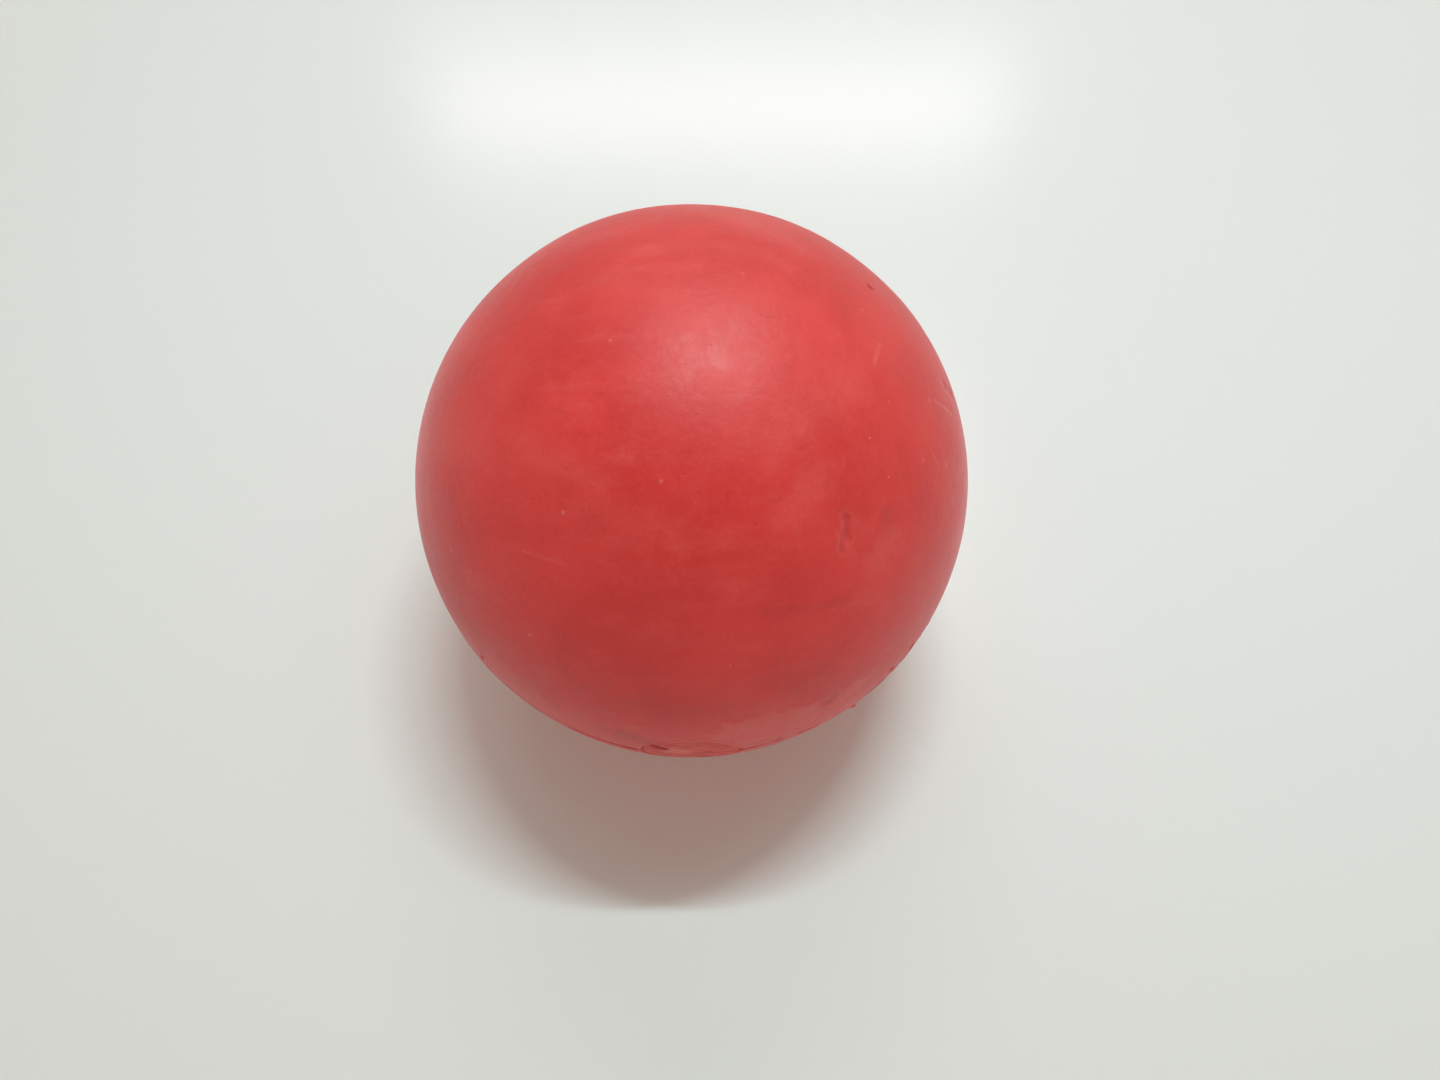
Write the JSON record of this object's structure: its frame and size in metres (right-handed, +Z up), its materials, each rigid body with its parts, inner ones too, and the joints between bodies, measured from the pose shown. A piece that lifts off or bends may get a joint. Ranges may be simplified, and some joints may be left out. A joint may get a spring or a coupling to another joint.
{
  "type": "stress ball",
  "caption": "Round hand-sized foam stress ball with a matte paint film over a dense skin and a light foam core, sprung so that it flattens when squeezed.",
  "frame": {"origin": "middle of the small flat that the ball rests on", "axes": "+Z up from the resting flat through the ball's centre, square to the parting plane; -Y towards the trimmed pour gate"},
  "size_m": [0.0704, 0.0701, 0.0698],
  "materials": {
    "paint": "matte flexible paint film, slightly uneven and dusty",
    "foam_skin": "matte dense foam skin with fine pores",
    "foam_core": "open matte foam with small cells",
    "trimmed_foam": "knife-cut matte foam",
    "flash": "thin matte flash, rubbed pale"
  },
  "bodies": {
    "base": {"lower_paint_film": "paint"},
    "foam": {"integral_skin": "foam_skin", "foam_core": "foam_core", "gate_stub": "trimmed_foam", "vent_stub": "trimmed_foam", "parting_flash_right": "flash", "parting_flash_left": "flash"},
    "crown": {"upper_paint_film": "paint"}
  },
  "joints": [
    {"name": "squeeze", "type": "slide", "parent": "base", "child": "foam", "axis": [0, 0, -1], "range_m": [0, 0.014], "stiffness_N_per_m": 4000, "deforming": ["lower_paint_film", "integral_skin", "foam_core", "gate_stub"]},
    {"name": "crown_squeeze", "type": "slide", "parent": "foam", "child": "crown", "axis": [0, 0, -1], "range_m": [0, 0.014], "stiffness_N_per_m": 4000, "deforming": ["upper_paint_film"]}
  ],
  "couplings": [
    {"joint": "crown_squeeze", "follows": "squeeze", "ratio": 1}
  ]
}
